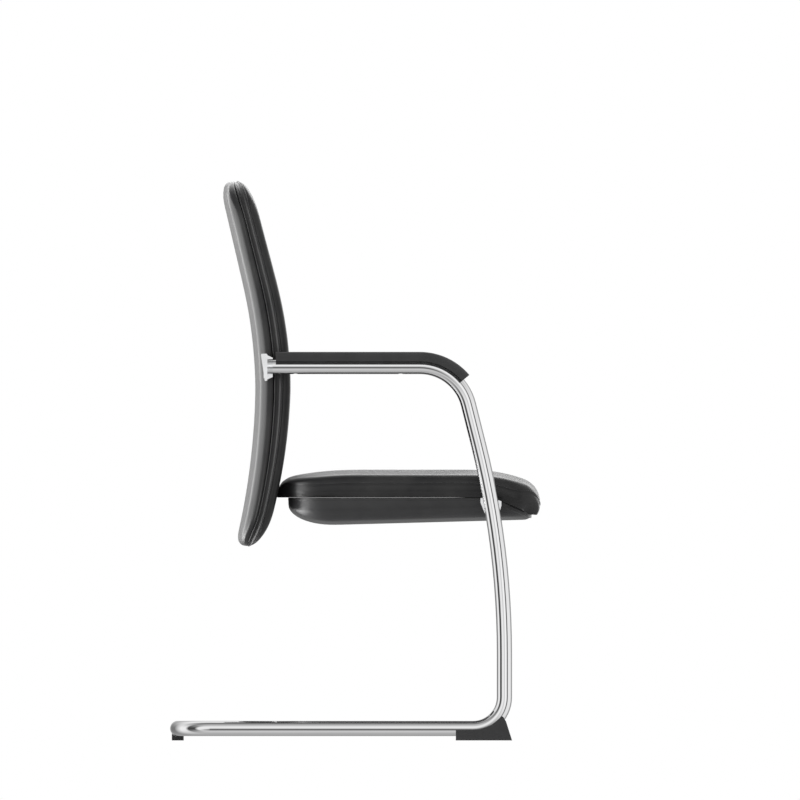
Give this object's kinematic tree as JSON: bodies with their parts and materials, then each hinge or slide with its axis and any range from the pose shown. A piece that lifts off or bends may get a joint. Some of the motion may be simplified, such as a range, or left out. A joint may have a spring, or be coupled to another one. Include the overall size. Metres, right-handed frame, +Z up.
{
  "type": "cantilever chair",
  "caption": "upholstered visitor armchair with a padded seat and back on a bent-tube cantilever frame with padded arms",
  "frame": {"origin": "on the floor, at the middle of the chair's overall length and width", "axes": "+Z up; the sitter faces -Y; +X is the sitter's left, and X mirrors the chair"},
  "size_m": [0.578, 0.6507, 0.9828],
  "materials": {
    "frame_chrome": "bright polished",
    "bracket_chrome": "bright, cast",
    "inner_steel": "plain rolled",
    "screw_steel": "zinc plated",
    "glide_plastic": "moulded, matt",
    "pad_plastic": "soft skinned foam, satin",
    "shell_plastic": "moulded, matt",
    "tray_plastic": "moulded, satin",
    "board_wood": "raw plywood",
    "back_leather": "smooth, satin",
    "seat_leather": "smooth, satin"
  },
  "bodies": {
    "root": {"frame_left": "frame_chrome", "frame_right": "frame_chrome", "frame_joint_sleeve": "inner_steel", "front_glide_left": "glide_plastic", "front_glide_right": "glide_plastic", "rear_glide_left": "glide_plastic", "rear_glide_right": "glide_plastic", "glide_screws": "screw_steel", "armpad_left": "pad_plastic", "armpad_right": "pad_plastic", "armpad_screws": "screw_steel", "back_bracket_left": "bracket_chrome", "back_bracket_right": "bracket_chrome", "bracket_set_screws": "screw_steel", "back_shell": "shell_plastic", "back_bracket_screws": "screw_steel", "back_nuts": "screw_steel", "back_cushion": "back_leather", "back_rear_panel": "back_leather", "back_panel_studs": "glide_plastic", "seat_bracket_left": "bracket_chrome", "seat_bracket_right": "bracket_chrome", "seat_beam": "inner_steel", "seat_rail_left": "inner_steel", "seat_rail_right": "inner_steel", "seat_board": "board_wood", "seat_screws": "screw_steel", "seat_nuts": "screw_steel", "seat_cushion": "seat_leather", "seat_lower_shell": "tray_plastic", "tray_screws": "screw_steel"}
  },
  "joints": []
}
